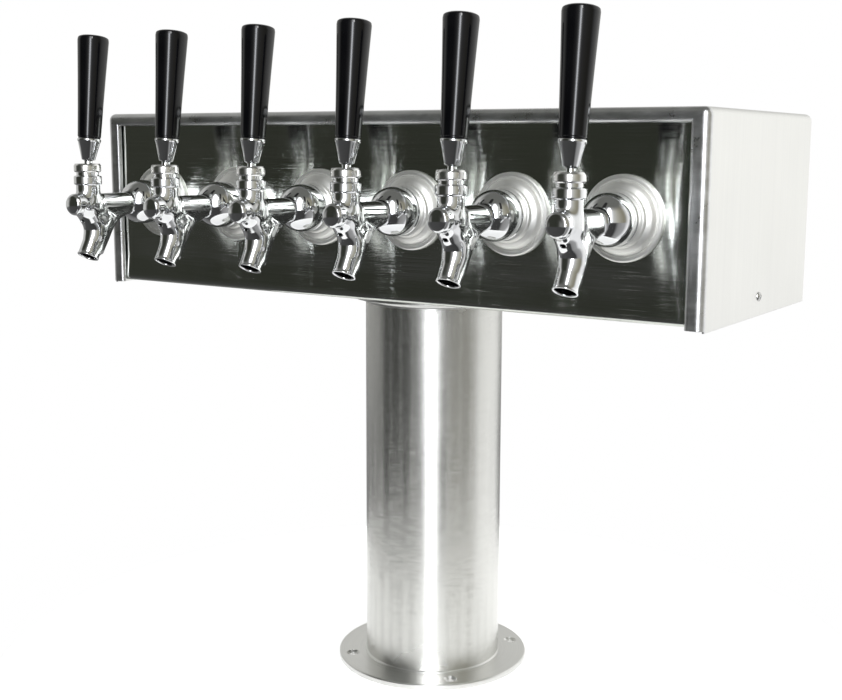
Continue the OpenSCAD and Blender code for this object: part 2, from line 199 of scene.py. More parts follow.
class Nodes:
    def __init__(self, name):
        self.mat = bpy.data.materials.new(name)
        self.mat.use_nodes = True
        self.t = self.mat.node_tree
        self.t.nodes.clear()
        self.out = self.t.nodes.new("ShaderNodeOutputMaterial")
        self.bsdf = self.t.nodes.new("ShaderNodeBsdfPrincipled")
        self.t.links.new(self.bsdf.outputs[0], self.out.inputs[0])
        self.tc = self.t.nodes.new("ShaderNodeTexCoord")

    def link(self, a, b):
        self.t.links.new(a, b)

    def math(self, op, a, b=0.0, c=None):
        n = self.t.nodes.new("ShaderNodeMath")
        n.operation = op
        for k, v in enumerate((a, b) if c is None else (a, b, c)):
            if isinstance(v, (int, float)):
                n.inputs[k].default_value = v
            else:
                self.link(v, n.inputs[k])
        return n.outputs[0]

    def sep(self, vec):
        n = self.t.nodes.new("ShaderNodeSeparateXYZ")
        self.link(vec, n.inputs[0])
        return n.outputs

    def comb(self, x, y, z):
        n = self.t.nodes.new("ShaderNodeCombineXYZ")
        for k, v in enumerate((x, y, z)):
            if isinstance(v, (int, float)):
                n.inputs[k].default_value = v
            else:
                self.link(v, n.inputs[k])
        return n.outputs[0]

    def scaled(self, vec, s):
        n = self.t.nodes.new("ShaderNodeMapping")
        n.inputs["Scale"].default_value = s
        self.link(vec, n.inputs["Vector"])
        return n.outputs[0]

    def noise(self, vec, scale, detail=3.0, rough=0.55, dist=0.0):
        n = self.t.nodes.new("ShaderNodeTexNoise")
        n.inputs["Scale"].default_value = scale
        n.inputs["Detail"].default_value = detail
        n.inputs["Roughness"].default_value = rough
        n.inputs["Distortion"].default_value = dist
        self.link(vec, n.inputs["Vector"])
        return n.outputs[0]

    def remap(self, v, a, b, c, d):
        n = self.t.nodes.new("ShaderNodeMapRange")
        n.inputs["From Min"].default_value = a
        n.inputs["From Max"].default_value = b
        n.inputs["To Min"].default_value = c
        n.inputs["To Max"].default_value = d
        self.link(v, n.inputs["Value"])
        return n.outputs[0]

    def colour(self, fac, c0, c1):
        n = self.t.nodes.new("ShaderNodeMix")
        n.data_type = "RGBA"
        n.inputs[6].default_value = (*c0, 1)
        n.inputs[7].default_value = (*c1, 1)
        self.link(fac, n.inputs[0])
        return n.outputs[2]

    def bump(self, height, strength, distance, normal=None):
        n = self.t.nodes.new("ShaderNodeBump")
        n.inputs["Strength"].default_value = strength
        n.inputs["Distance"].default_value = distance
        self.link(height, n.inputs["Height"])
        if normal is not None:
            self.link(normal, n.inputs["Normal"])
        return n.outputs[0]

    def set(self, name, value):
        self.bsdf.inputs[name].default_value = value


def metal(name, dark, light, rough, grain=None, grain_scale=(1, 1, 1), grain_bump=0.0,
          aniso=0.0, tangent=None, wave=0.0, wave_scale=120.0, smudge=6.0, rot=0.0):
    """Metal with grain, slow tone changes, handling smudges and a little waviness.
    grain is None, "flat", "column" (round about Z) or "turned" (rings about local Z).
    rough is (least, most)."""
    m = Nodes(name)
    obj = m.tc.outputs["Object"]
    m.set("Metallic", 1.0)
    base = obj
    if grain == "column":
        x, y, z = m.sep(obj)
        base = m.comb(m.math("MULTIPLY", m.math("ARCTAN2", y, x), 0.05), 0.0, z)
    elif grain == "turned":
        x, y, z = m.sep(obj)
        r = m.math("SQRT", m.math("ADD", m.math("MULTIPLY", x, x), m.math("MULTIPLY", y, y)))
        base = m.comb(r, m.math("MULTIPLY", m.math("ARCTAN2", y, x), 0.004), z)
    slow = m.noise(obj, smudge, 4.0, 0.6)
    if grain:
        g1 = m.noise(m.scaled(base, grain_scale), 1.0, 5.0, 0.7)
        g2 = m.noise(m.scaled(base, tuple(0.22 * s for s in grain_scale)), 1.0, 3.0, 0.6)
        g = m.math("ADD", m.math("MULTIPLY", g1, 0.6), m.math("MULTIPLY", g2, 0.4))
        tone = m.math("ADD", m.math("MULTIPLY", g, 0.65), m.math("MULTIPLY", slow, 0.35))
    else:
        g = m.noise(obj, 900.0, 2.0, 0.5)
        tone = slow
    m.link(m.colour(m.remap(tone, 0.35, 0.65, 0.0, 1.0), dark, light), m.bsdf.inputs["Base Color"])
    rmix = m.math("ADD", m.math("MULTIPLY", g, 0.5), m.math("MULTIPLY", m.noise(obj, smudge * 3.1, 5.0, 0.65), 0.5))
    m.link(m.remap(rmix, 0.36, 0.66, rough[0], rough[1]), m.bsdf.inputs["Roughness"])
    normal = None
    if wave:
        normal = m.bump(m.noise(obj, wave_scale, 1.0, 0.4), 1.0, wave)
    if grain_bump:
        normal = m.bump(g, 1.0, grain_bump, normal)
    if normal is not None:
        m.link(normal, m.bsdf.inputs["Normal"])
    if aniso:
        m.set("Anisotropic", aniso)
        m.set("Anisotropic Rotation", rot)
        if tangent in ("X", "Y", "Z"):
            n = m.t.nodes.new("ShaderNodeTangent")
            n.direction_type = "RADIAL"
            n.axis = tangent
            m.link(n.outputs[0], m.bsdf.inputs["Tangent"])
        elif tangent is not None:
            m.link(m.comb(*tangent), m.bsdf.inputs["Tangent"])
    return m.mat


CHROME = metal("chrome_plate", (0.74, 0.75, 0.76), (0.82, 0.83, 0.84), (0.035, 0.10), wave=0.00010, wave_scale=95.0, smudge=30.0)
BONNET = metal("bonnet_satin_chrome", (0.80, 0.80, 0.79), (0.90, 0.90, 0.89), (0.15, 0.24), smudge=40.0)
FLANGE = metal("flange_satin_steel", (0.70, 0.70, 0.68), (0.84, 0.84, 0.82), (0.27, 0.38), "turned",
               (2400, 60, 1), 0.000010, 0.5, "Z", smudge=9.0, rot=0.25)
COVER = metal("cover_brushed_steel", (0.83, 0.83, 0.81), (0.91, 0.91, 0.885), (0.28, 0.40), "flat",
              (1500, 1500, 9), 0.000005, 0.5, (0.0, 1.0, 0.0), smudge=5.0)
LIPS = metal("lip_brushed_steel", (0.58, 0.585, 0.59), (0.86, 0.865, 0.87), (0.24, 0.42), "flat",
             (60, 60, 170), 0.000001, smudge=30.0)
TURNED = metal("shank_flange_satin", (0.87, 0.87, 0.84), (0.94, 0.94, 0.91), (0.42, 0.55), "turned",
               (2600, 40, 1), 0.000006, 0.3, "Z", smudge=20.0, rot=0.25)
STEEL = metal("machined_stainless", (0.48, 0.48, 0.47), (0.70, 0.70, 0.69), (0.20, 0.38), "flat",
              (600, 600, 600), 0.000010, smudge=40.0)
NICKEL = metal("hidden_fittings_chrome", (0.66, 0.66, 0.64), (0.78, 0.78, 0.76), (0.10, 0.22), wave=0.0001, smudge=40.0)


def plastic(name, dark, light, rough, bump=0.00001, scale=700.0, coat=0.0, smudge=35.0, spec=0.5):
    m = Nodes(name)
    obj = m.tc.outputs["Object"]
    slow = m.noise(obj, smudge, 4.0, 0.6)
    fine = m.noise(obj, scale, 3.0, 0.6)
    scratch = m.noise(m.scaled(obj, (1800, 1800, 40)), 1.0, 2.0, 0.5)
    m.link(m.colour(m.remap(slow, 0.3, 0.7, 0.0, 1.0), dark, light), m.bsdf.inputs["Base Color"])
    r = m.math("ADD", m.math("MULTIPLY", slow, 0.6), m.math("MULTIPLY", scratch, 0.4))
    m.link(m.remap(r, 0.35, 0.65, rough[0], rough[1]), m.bsdf.inputs["Roughness"])
    m.link(m.bump(fine, 1.0, bump), m.bsdf.inputs["Normal"])
    m.set("Specular IOR Level", spec)
    if coat:
        m.set("Coat Weight", coat)
        m.set("Coat Roughness", 0.04)
    return m.mat




def grained(name, dark, light, rough, tip, lines, patch=(5, 1, 9), round_z=False, smudge=4.0, finer=1.0):
    """Sheet or tube with level grain: every grain line tips the surface up or down a little, so
    reflections keep their width but smear up and down. tip is (least, most) over the surface."""
    m = Nodes(name)
    obj = m.tc.outputs["Object"]
    m.set("Metallic", 1.0)
    base = obj
    if round_z:
        x, y, z = m.sep(obj)
        base = m.comb(m.math("MULTIPLY", m.math("ARCTAN2", y, x), 0.05), 0.0, z)
    geo = m.t.nodes.new("ShaderNodeNewGeometry")
    fine = m.noise(m.scaled(base, (14 * finer, 1, 16000 * finer)), 1.0, 0.0, 0.5)
    wide = m.noise(m.scaled(base, (23 * finer, 1, 27000 * finer)), 1.0, 0.0, 0.5)
    k1 = m.remap(m.noise(m.scaled(base, patch), 1.0, 2.0, 0.5), 0.3, 0.7, tip[0], tip[1])
    s1 = m.math("MULTIPLY", m.math("SUBTRACT", fine, 0.5), m.math("MULTIPLY", k1, 3.0))
    w = m.math("SUBTRACT", wide, 0.5)
    s2 = m.math("MULTIPLY", m.math("MULTIPLY", m.math("MULTIPLY", w, w), w), m.math("MULTIPLY", k1, 110.0))
    add = m.t.nodes.new("ShaderNodeVectorMath")
    add.operation = "ADD"
    m.link(geo.outputs["Normal"], add.inputs[0])
    m.link(m.comb(0.0, 0.0, m.math("ADD", s1, s2)), add.inputs[1])
    nrm = m.t.nodes.new("ShaderNodeVectorMath")
    nrm.operation = "NORMALIZE"
    m.link(add.outputs[0], nrm.inputs[0])
    m.link(nrm.outputs[0], m.bsdf.inputs["Normal"])
    slow = m.noise(obj, smudge, 4.0, 0.6)
    line = m.noise(m.scaled(base, lines), 1.0, 4.0, 0.65)
    tone = m.math("ADD", m.math("MULTIPLY", slow, 0.5), m.math("MULTIPLY", line, 0.5))
    m.link(m.colour(m.remap(tone, 0.35, 0.65, 0.0, 1.0), dark, light), m.bsdf.inputs["Base Color"])
    m.link(m.remap(slow, 0.35, 0.65, rough[0], rough[1]), m.bsdf.inputs["Roughness"])
    return m.mat


PANEL = grained("panel_mirror_steel", (0.56, 0.58, 0.54), (0.70, 0.72, 0.68), (0.06, 0.11), (0.055, 0.12), (6, 1, 1500))
COLUMN = grained("column_brushed_steel", (0.665, 0.665, 0.64), (0.715, 0.715, 0.69), (0.21, 0.28), (0.24, 0.29), (30, 1, 500),
                 (12, 1, 12), True, 9.0, 5.0)
HANDLE = plastic("handle_gloss_black", (0.002, 0.002, 0.003), (0.005, 0.005, 0.006), (0.06, 0.10), 0.000004, 500.0, 0.0, spec=0.36)
RUBBER = plastic("rubber_black", (0.018, 0.018, 0.018), (0.035, 0.035, 0.034), (0.6, 0.85), 0.00003, 900.0, spec=0.3)
NYLON = plastic("nylon_black", (0.03, 0.03, 0.03), (0.06, 0.06, 0.06), (0.35, 0.55), 0.00002, 900.0, spec=0.4)


def hose_material():
    m = Nodes("hose_clear_vinyl")
    obj = m.tc.outputs["Object"]
    slow = m.noise(obj, 25.0, 3.0, 0.6)
    m.link(m.colour(slow, (0.70, 0.76, 0.78), (0.88, 0.92, 0.93)), m.bsdf.inputs["Base Color"])
    m.link(m.remap(m.noise(obj, 300.0, 4.0, 0.6), 0.3, 0.7, 0.12, 0.3), m.bsdf.inputs["Roughness"])
    m.set("Transmission Weight", 0.75)
    m.set("IOR", 1.52)
    m.link(m.bump(slow, 1.0, 0.0002), m.bsdf.inputs["Normal"])
    return m.mat


HOSE = hose_material()


def paint(ob, *mats):
    ob.data.materials.clear()
    for m in mats:
        ob.data.materials.append(m)
    return ob


def piece(ob, mat, body, replaces=()):
    """Paints a new piece, makes it ride, and hides the CAD parts it replaces."""
    if mat is not None:
        paint(ob, mat)
    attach(ob, body)
    if replaces:
        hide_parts(*replaces)
    return ob


# -------------------------------------------------------------- faucet casting
# A field of distances in millimetres; x is across the faucet, y and z as in the frame.


def smin(a, b, k):
    h = np.maximum(k - np.abs(a - b), 0.0) / k
    return np.minimum(a, b) - h * h * k * 0.25


def smax(a, b, k):
    return -smin(-a, -b, k)


def sphere(x, y, z, cy, cz, r):
    return np.sqrt(x * x + (y - cy) ** 2 + (z - cz) ** 2) - r


def capsule(x, y, z, a, b, ra, rb):
    """Round bar between two points of the mid plane, tapering from ra to rb."""
    ey, ez = b[0] - a[0], b[1] - a[1]
    t = np.clip(((y - a[0]) * ey + (z - a[1]) * ez) / (ey * ey + ez * ez), 0.0, 1.0)
    return np.sqrt(x * x + (y - a[0] - ey * t) ** 2 + (z - a[1] - ez * t) ** 2) - (ra + (rb - ra) * t)


def disc(rho, h, r, h0, h1, edge):
    """Upright round solid between two heights with rounded edges."""
    qx = rho - (r - edge)
    qz = np.abs(h - (h0 + h1) / 2) - ((h1 - h0) / 2 - edge)
    return np.minimum(np.maximum(qx, qz), 0.0) + np.sqrt(np.maximum(qx, 0.0) ** 2 + np.maximum(qz, 0.0) ** 2) - edge


WEB = [(-121.0, 346.0), (-121.0, 339.1), (-124.8, 338.3), (-128.6, 336.9), (-132.2, 334.8), (-135.6, 332.0),
       (-138.7, 328.5), (-141.5, 324.6), (-144.3, 320.2), (-147.2, 315.4), (-150.2, 310.6), (-156.0, 312.0),
       (-157.0, 330.0), (-154.0, 346.0)]


def web_flat(y, z):
    d = np.full(np.shape(y), 1e9)
    inside = np.zeros(np.shape(y), bool)
    n = len(WEB)
    for i in range(n):
        a, b = WEB[i], WEB[(i + 1) % n]
        ey, ez = b[0] - a[0], b[1] - a[1]
        wy, wz = y - a[0], z - a[1]
        t = np.clip((wy * ey + wz * ez) / (ey * ey + ez * ez), 0.0, 1.0)
        d = np.minimum(d, (wy - ey * t) ** 2 + (wz - ez * t) ** 2)
        cross = (a[1] > z) != (b[1] > z)
        if abs(ez) > 1e-9:
            inside ^= cross & (y < a[0] + ey * (z - a[1]) / ez)
    return np.where(inside, -np.sqrt(d), np.sqrt(d))


def casting(x, y, z, web=None):
    ax = np.abs(x)
    if web is None:
        web = web_flat(y, z)
    rb = np.sqrt(x * x + (z - AXIS_Z) ** 2)
    rh = np.sqrt(x * x + (y - PIV_Y) ** 2)
    barrel = np.maximum(np.maximum(rb - 7.4, y + 113.0), -168.0 - y)
    qx, qy = rb - 4.6, -(y + 171.3)
    button = np.minimum(np.maximum(qx, qy), 0.0) + np.sqrt(np.maximum(qx, 0.0) ** 2 + np.maximum(qy, 0.0) ** 2) - 3.0
    cap = np.maximum(sphere(x, y, z, -161.3, AXIS_Z, 14.0), np.maximum(rb - 6.2, y + 166.0))
    button = np.maximum(smin(button, cap, 0.6), y + 160.0)
    housing = disc(rh, z, 8.25, 340.8, 362.0, 3.0)
    body = smin(barrel, housing, 4.0)
    ct, st = math.cos(TILT), math.sin(TILT)
    t = (y - TIP_Y) * st + (z - TIP_Z) * ct
    s = (y - TIP_Y) * ct - (z - TIP_Z) * st
    rs = np.sqrt(x * x + s * s)
    flare = 0.42 * np.exp(-(np.maximum(t, 0.0) / 1.5) ** 2)
    tube = smax(smax(rs - (7.22 + flare), -t, 0.5), t - 34.0, 2.0)
    neck = capsule(x, y, z, (-153.3, 331.2), (-161.6, 344.0), 7.7, 8.15)
    elbow = capsule(x, y, z, (-153.4, 331.0), (-153.7, 325.6), 7.7, 7.5)
    low = smin(smin(neck, elbow, 2.2), tube, 3.0)
    w, r = 4.9, 3.6
    q0, q1 = web + r, ax - w + r
    rib = np.minimum(np.maximum(q0, q1), 0.0) + np.sqrt(np.maximum(q0, 0.0) ** 2 + np.maximum(q1, 0.0) ** 2) - r
    rib = np.maximum(rib, -t + 1.0)
    solid = smin(smin(body, low, 3.2), rib, 5.0)
    solid = smax(solid, -t, 0.5)
    solid = smin(solid, disc(rb, y, 12.0, -116.0, -113.0, 0.4), 0.3)
    ring = disc(rh, z, 9.6, 360.2, 366.5, 1.1)
    cup = disc(rh, z, 7.7, 350.0, 371.2, 0.3)
    solid = smin(smin(solid, cup, 0.4), ring, 0.5)
    solid = smin(solid, button, 0.4)
    # hollows: spout bore with a broken edge, barrel bore, cup, throat for the lever's finger, vent
    bore = np.maximum(rs - (6.2 + 0.35 * np.clip(1.0 - t / 0.7, 0.0, 1.0)), t - 36.0)
    hole = np.maximum(np.maximum(rb - 4.85, -171.0 - y), y + 112.0)
    well = np.maximum(rh - 6.5, 360.5 - z)
    step = np.maximum(rh - 5.3, np.maximum(358.2 - z, z - 362.2))
    slot1 = np.maximum(ax - 3.4, np.maximum(np.abs(y + 157.2) - 6.6, np.abs(z - 351.25) - 2.75))
    slot2 = np.maximum(ax - 3.4, np.maximum(np.abs(y + 157.6) - 5.6, np.abs(z - 356.1) - 2.6))
    hollow = np.minimum.reduce([bore, hole, well, step, slot1, slot2])
    solid = smax(solid, -hollow, 0.25)
    vy, vz = math.sin(math.radians(60)), math.cos(math.radians(60))
    vt = (y + 169.0) * vy + (z - 332.6) * vz
    vs = (y + 169.0) * vz - (z - 332.6) * vy
    vx = np.maximum(ax - 0.55, 0.0)
    vent = np.maximum(np.sqrt(vx * vx + vs * vs) - 1.15, vt - 20.0)
    return smax(solid, -vent, 0.5)


def surface_net(v, origin, h):
    """Quads where the field changes sign."""
    s = v < 0
    c = sum(s[i:s.shape[0] - 1 + i, j:s.shape[1] - 1 + j, k:s.shape[2] - 1 + k].astype(np.int8)
            for i in (0, 1) for j in (0, 1) for k in (0, 1))
    cells = (c > 0) & (c < 8)
    idx = np.full(cells.shape, -1, np.int64)
    idx[cells] = np.arange(int(cells.sum()))
    ci = np.argwhere(cells)
    acc, cnt = np.zeros((len(ci), 3)), np.zeros(len(ci))
    for axis in range(3):
        o = [a for a in range(3) if a != axis]
        for p in (0, 1):
            for q in (0, 1):
                a = np.zeros(3, int)
                a[o[0]], a[o[1]] = p, q
                b = a.copy()
                b[axis] = 1
                A, B = ci + a, ci + b
                va, vb = v[A[:, 0], A[:, 1], A[:, 2]], v[B[:, 0], B[:, 1], B[:, 2]]
                m = (va < 0) != (vb < 0)
                tt = va[m] / (va[m] - vb[m])
                acc[m] += A[m] + tt[:, None] * (b - a)
                cnt[m] += 1
    P = acc / cnt[:, None]
    quads = []
    for axis, (u, w) in ((0, (1, 2)), (1, (2, 0)), (2, (0, 1))):
        lo = [slice(1, -1)] * 3
        hi = [slice(1, -1)] * 3
        lo[axis], hi[axis] = slice(0, -1), slice(1, None)
        e = np.argwhere(s[tuple(lo)] != s[tuple(hi)])
        off = np.ones(3, int)
        off[axis] = 0
        e = e + off

        def cell(du, dw):
            q = e.copy()
            q[:, u] += du
            q[:, w] += dw
            return idx[q[:, 0], q[:, 1], q[:, 2]]

        f = np.stack([cell(-1, -1), cell(0, -1), cell(0, 0), cell(-1, 0)], 1)
        inside = s[e[:, 0], e[:, 1], e[:, 2]]
        f[~inside] = f[~inside][:, ::-1]
        quads.append(f)
    return origin + P * h, np.concatenate(quads)


def casting_mesh(h):
    lo = np.array([-12.9, -176.8, 301.2])
    hi = np.array([12.9, -112.2, 372.2])
    n = np.ceil((hi - lo) / h).astype(int) + 1
    gx, gy, gz = (lo[a] + h * np.arange(n[a]) for a in range(3))
    Y, Z = np.meshgrid(gy, gz, indexing="ij")
    W = web_flat(Y, Z)
    v = casting(gx[:, None, None], Y[None], Z[None], W[None])
    P, Q = surface_net(v, lo, h)

    def grad(P):
        d = 0.02
        g = np.empty_like(P)
        for a in range(3):
            e = np.zeros(3)
            e[a] = d
            A, B = P + e, P - e
            g[:, a] = (casting(A[:, 0], A[:, 1], A[:, 2]) - casting(B[:, 0], B[:, 1], B[:, 2])) / (2 * d)
        return g

    for _ in range(3):
        f = casting(P[:, 0], P[:, 1], P[:, 2])
        g = grad(P)
        step = f[:, None] * g / np.maximum((g * g).sum(1), 0.2)[:, None]
        ln = np.linalg.norm(step, axis=1)
        step *= np.minimum(1.0, 0.35 * h / np.maximum(ln, 1e-9))[:, None]
        P = P - step
    g = grad(P)
    N = g / np.maximum(np.linalg.norm(g, axis=1), 1e-9)[:, None]
    return P, Q, N


# The local origin is on the faucet's own plane, so one mesh serves all six.
P, Q, N = casting_mesh(0.44)
first = to_object("faucet_casting_1", P, Q, Matrix.Translation((faucet_x(1), 0, 0)), normals=N)
print("casting", len(P), "vertices")
castings = [first] + [put(f"faucet_casting_{i}", first.data, Matrix.Translation((faucet_x(i), 0, 0))) for i in range(2, 7)]
paint(first, CHROME)
for i, ob in enumerate(castings, 1):
    piece(ob, None, "tower", [f"faucet_body_{i}"])


def six(name, prof, place, body, mat, replaces=None, seg=96, closed=True):
    """One turned mesh used six times. place(i) gives each copy's matrix."""
    a = lathe(f"{name}_1", prof, seg, closed, place(1))
    paint(a, mat)
    obs = [a] + [put(f"{name}_{i}", a.data, place(i)) for i in range(2, 7)]
    for i, ob in enumerate(obs, 1):
        nodes = ()
        if replaces:
            nodes = [replaces.format(i)] if "{}" in replaces else ([replaces] if i == 1 else [])
        piece(ob, None, body.format(i), nodes)
    return obs


# Stepped flange round each shank; heights run from the panel forwards.
def forward(i, y=PANEL_Y):
    """Local Z runs forwards, along -Y, from y."""
    return Matrix.Translation((faucet_x(i), y, AXIS_Z)) @ Matrix.Rotation(math.pi / 2, 4, "X")


six("shank_flange", rounded([
    (11.3, 0.0), (26.3, 0.0, 0.2), (26.3, 1.9, 0.5), (25.4, 2.8, 0.6), (23.7, 3.0, 0.4), (23.0, 2.2, 0.3),
    (22.4, 2.2, 0.3), (21.8, 3.6, 0.9), (20.5, 5.4, 1.6), (18.6, 6.6, 0.6), (17.7, 7.0, 0.3), (17.2, 8.9, 0.5),
    (16.4, 9.5, 0.3), (11.3, 9.5, 0.3)]), forward, "tower", TURNED, "shank_flanges", 128)

# Coupling nut: threaded skirt with a turned groove, domed front with a hole for the barrel.
nut = [(13.5, 12.5), (13.5, 12.7), (13.7, 12.5), (15.2, 12.5, 0.3), (15.9, 13.3, 0.4), (15.9, 14.4, 0.2), (15.35, 14.9, 0.2),
       (15.35, 15.5, 0.2), (16.0, 16.0, 0.3)]
nut = rounded(nut, closed=False)
ctr = 108.0 - 86.7
for k in range(0, 27):
    a = math.radians(90 - (90 - 60.6) * 0 - k * 60.4 / 26)
    nut.append((16.0 * math.sin(a), ctr + 16.0 * math.cos(a)))
nut += rounded([nut[-1], (8.05, ctr + 13.95, 0.3), (7.9, ctr + 13.4, 0.2), (7.9, 116.1 - 86.7, 0.2), (12.5, 116.1 - 86.7), (12.5, 113.05 - 86.7),
                (13.5, 113.05 - 86.7), (13.5, 12.8)], closed=False)[1:]
six("coupling_nut", nut, forward, "tower", CHROME, "coupling_nuts", 128)

# Bonnet ring that holds the ball down; heights from the ball's centre.
up = lambda i: Matrix.Translation((faucet_x(i), PIV_Y, PIV_Z))
six("bonnet", rounded([
    (8.0, 3.0, 0.1), (8.7, 3.0, 0.3), (9.3, 3.9, 0.5), (9.3, 7.7, 0.7), (8.5, 9.0, 0.5), (7.2, 9.0, 0.4), (5.0, 3.6, 0.1),
    (6.2, 3.6), (6.2, 5.3, 0.1), (8.0, 5.3)]), up, "tower", BONNET, "bonnets", 96)

# Lever: ball, neck with a small shoulder, stud, finger below with its round tip.
lev = []
for k in range(0, 8):
    a = math.radians(180 - k * 17.0)
    lev.append((2.7 * math.sin(a), -19.5 + 2.7 * math.cos(a)))
lev[0] = (0.0, -22.2)
lev += [(1.62, -17.2), (1.6, -16.6), (1.6, -5.0)]
for k in range(0, 19):
    a = math.radians(160.5 - k * 7.05)
    lev.append((5.0 * math.sin(a), 5.0 * math.cos(a)))
lev += rounded([(2.8, 4.3), (2.8, 10.9, 0.4), (3.6, 11.5, 0.15), (3.9, 11.6), (3.9, 39.4, 0.3), (3.3, 40.0, 0.1), (0.0, 40.0)], closed=False)
lev = [p for k, p in enumerate(lev) if k == 0 or (abs(p[0] - lev[k - 1][0]) + abs(p[1] - lev[k - 1][1])) > 1e-4]
six("lever_ball_stud", lev, lever_place, "tap_lever_{}", CHROME, "lever_{}", 64, closed=False)

# Ferrule with a waist and a rolled upper edge.
six("ferrule_cup", rounded([
    (3.95, 11.62), (4.6, 11.62, 0.2), (5.75, 16.4, 6.0), (6.75, 20.5, 4.0), (7.65, 24.2, 0.8), (8.15, 25.0, 0.35),
    (8.15, 26.0, 0.35), (7.8, 26.4, 0.2), (3.95, 26.4)]), lever_place, "tap_lever_{}", CHROME, "ferrule_{}", 96)

# Handle: long tapered grip with a softly domed top and a stepped foot.
six("handle_grip", rounded([
    (0.0, 41.0), (3.95, 41.0), (3.95, 26.45), (7.3, 26.45, 0.2), (7.55, 26.7, 0.2), (7.6, 27.6, 0.2), (8.0, 28.0, 0.3),
    (8.75, 49.0, 40.0), (9.6, 70.0, 40.0), (10.75, 95.0, 3.0), (10.4, 97.1, 1.5), (8.4, 98.0, 2.0), (4.0, 98.25, 3.0), (0.0, 98.3)], closed=False, step=4.0),
    lever_place, "tap_lever_{}", HANDLE, "handle_{}", 96, closed=False)

# --------------------------------------------------------------- column and base

col = lathe("column_shell", rounded([
    (49.3, 4.32), (50.4, 4.32), (50.8, 4.32), (50.8, 281.45), (49.3, 281.45)]), 256, True)
piece(col, COLUMN, "tower", ["column_tube"])

weld = lathe("column_weld", rounded([(50.6, 4.2), (52.0, 4.2, 0.3), (51.5, 4.9, 0.6), (50.75, 5.6, 0.2), (50.6, 5.6)]), 256, True)
piece(weld, FLANGE, "tower")


ring = lathe("collar_ring", rounded([
    (49.3, 281.5), (50.8, 281.5), (50.8, 274.8), (51.1, 274.8, 0.1)] + [
    (54.4 - 3.3 * math.cos(math.radians(q)), 274.8 + 3.3 * math.sin(math.radians(q))) for q in range(6, 88, 8)] + [
    (54.3, 278.3), (60.0, 278.3, 0.7), (60.0, 283.98, 0.4), (49.3, 283.98)]), 256, True)
piece(ring, FLANGE, "tower", ["column_top_flange"])
for a in range(0, 360, 90):
    q = math.radians(a)
    stud = [(1.85, 283.0)]
    for k in range(10):
        z0 = 284.2 + k * 0.98
        stud += [(1.9, z0), (1.55, z0 + 0.45), (1.9, z0 + 0.9)]
    stud += [(1.5, 294.5), (0.0, 294.5)]
    stud = lathe(f"collar_stud_{a // 90 + 1}", [(0.0, 283.0)] + stud, 32, False, Matrix.Translation((52.9 * math.cos(q), 52.9 * math.sin(q), 0)))
    piece(stud, STEEL, "tower")


def drilled(ob, cutters):
    for k, c in enumerate(cutters):
        mod = ob.modifiers.new(f"cut{k}", "BOOLEAN")
        mod.operation = "DIFFERENCE"
        mod.solver = "EXACT"
        mod.object = c
    evaluated(ob)
    for c in cutters:
        bpy.data.objects.remove(c)
    ob.data.shade_smooth()
    ob.data.set_sharp_from_angle(angle=math.radians(28))
    return ob


foot = lathe("base_plate", rounded([(49.3, 0.0), (71.6, 0.0, 0.2), (72.0, 0.5, 0.3), (72.0, 3.5, 0.5), (71.2, 4.3, 0.5), (49.3, 4.3)]), 256, True)
cuts = []
for a in range(45, 360, 90):
    q = math.radians(a)
    cuts.append(lathe(f"cut_{a}", rounded([(0.0, -1.0), (3.4, -1.0), (3.4, 2.7, 0.1), (5.0, 4.22, 0.1), (5.05, 5.0), (0.0, 5.0)], closed=False), 64, False,
                      Matrix.Translation((62.25 * math.cos(q), 62.25 * math.sin(q), 0))))
piece(drilled(foot, cuts), FLANGE, "tower", ["base_flange"])

# ------------------------------------------------------------------ sheet metal


